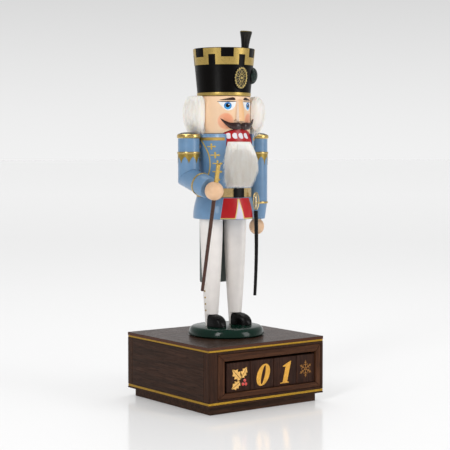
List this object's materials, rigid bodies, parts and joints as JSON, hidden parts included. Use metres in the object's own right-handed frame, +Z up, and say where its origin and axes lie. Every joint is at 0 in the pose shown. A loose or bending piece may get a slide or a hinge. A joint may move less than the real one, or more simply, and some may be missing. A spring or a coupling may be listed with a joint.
{
  "type": "nutcracker figure",
  "caption": "Wooden soldier nutcracker with a lever jaw, fur hair and beard, cane and sabre, standing on a box with pull-out countdown calendar blocks.",
  "frame": {"origin": "centre of the box's underside, on the surface it stands on", "axes": "+Z up; the figure and the calendar face look along -Y; the figure's right hand is at -X"},
  "size_m": [0.18, 0.18, 0.4718],
  "materials": {
    "plinth_wood": "dark walnut stain, satin",
    "wall_wood": "dark walnut stain with fine grain, satin",
    "top_wood": "dark walnut stain, polished",
    "gold_strip": "thin gold painted strip, satin",
    "frame_wood": "reddish walnut stain, satin",
    "tray_wood": "dark stain, matt",
    "block_wood": "dark walnut stain with a gold painted motif on the face",
    "steel": "plain",
    "disc_green": "very dark green gloss lacquer",
    "leg_white": "off-white satin paint",
    "shoe_black": "black gloss paint",
    "coat_blue": "steel-blue satin paint with gold braid",
    "sleeve_blue": "steel-blue satin paint with gold rings",
    "belt_gold": "gold satin paint",
    "buckle_black": "black gloss paint with gold edges",
    "lever_red": "red lips and white teeth on the jaw, grey-green tail",
    "fur": "long white imitation fur",
    "skin": "light flesh satin paint",
    "moustache_brown": "dark brown gloss paint",
    "hat_black": "black satin paint with a gold key-pattern band",
    "plume_black": "black satin paint with a gold rim",
    "cockade_black": "ribbed dark ribbon",
    "emblem_gold": "pressed openwork rosette, satin",
    "epaulette_gold": "gold satin paint with a dark top",
    "beech": "bare",
    "cane_gold": "gold satin paint",
    "cane_brown": "brown gloss paint",
    "scabbard_black": "black gloss paint",
    "hilt_gold": "gold satin",
    "grip_black": "black gloss paint"
  },
  "bodies": {
    "stand": {"plinth": "plinth_wood", "base_board": "plinth_wood", "lower_gold_strip": "gold_strip", "left_panel": "wall_wood", "right_panel": "wall_wood", "back_panel": "wall_wood", "front_panel": "wall_wood", "upper_gold_strip": "gold_strip", "top_board": "top_wood", "frame_top": "frame_wood", "frame_bottom": "frame_wood", "frame_left": "frame_wood", "frame_right": "frame_wood", "tray_floor": "tray_wood", "tray_ceiling": "tray_wood", "tray_left": "tray_wood", "tray_right": "tray_wood", "tray_back": "tray_wood", "right_screw": "steel", "left_screw": "steel", "base_disc": "disc_green", "right_leg": "leg_white", "left_leg": "leg_white", "right_shoe": "shoe_black", "left_shoe": "shoe_black", "coat_skirt": "coat_blue", "belt": "belt_gold", "belt_buckle": "buckle_black", "torso": "coat_blue", "pivot_pin": "steel", "head": "skin", "nose": "skin", "moustache": "moustache_brown", "hair": "fur", "hat": "hat_black", "plume": "plume_black", "cockade": "cockade_black", "hat_emblem": "emblem_gold", "left_arm": "sleeve_blue", "left_hand": "skin", "right_upper_arm": "sleeve_blue", "right_forearm": "sleeve_blue", "right_hand": "skin", "right_epaulette": "epaulette_gold", "left_epaulette": "epaulette_gold", "right_arm_dowel": "beech", "left_arm_dowel": "beech", "cane_grip": "cane_gold", "cane_stick": "cane_brown", "scabbard": "scabbard_black", "sabre_guard": "hilt_gold", "sabre_grip": "grip_black"},
    "jaw": {"jaw_lever": "lever_red", "beard": "fur"},
    "block_holly": {"holly_block": "block_wood"},
    "block_tens": {"tens_block": "block_wood"},
    "block_ones": {"ones_block": "block_wood"},
    "block_ornament": {"ornament_block": "block_wood"}
  },
  "joints": [
    {"name": "jaw_hinge", "type": "hinge", "parent": "stand", "child": "jaw", "pos_m": [0, 0.002, 0.308], "axis": [1, 0, 0], "range_deg": [0, 20], "deforming": ["beard"]},
    {"name": "holly_block_slide", "type": "slide", "parent": "stand", "child": "block_holly", "axis": [0, -1, 0], "range_m": [0, 0.038]},
    {"name": "tens_block_slide", "type": "slide", "parent": "stand", "child": "block_tens", "axis": [0, -1, 0], "range_m": [0, 0.038]},
    {"name": "ones_block_slide", "type": "slide", "parent": "stand", "child": "block_ones", "axis": [0, -1, 0], "range_m": [0, 0.038]},
    {"name": "ornament_block_slide", "type": "slide", "parent": "stand", "child": "block_ornament", "axis": [0, -1, 0], "range_m": [0, 0.038]}
  ]
}
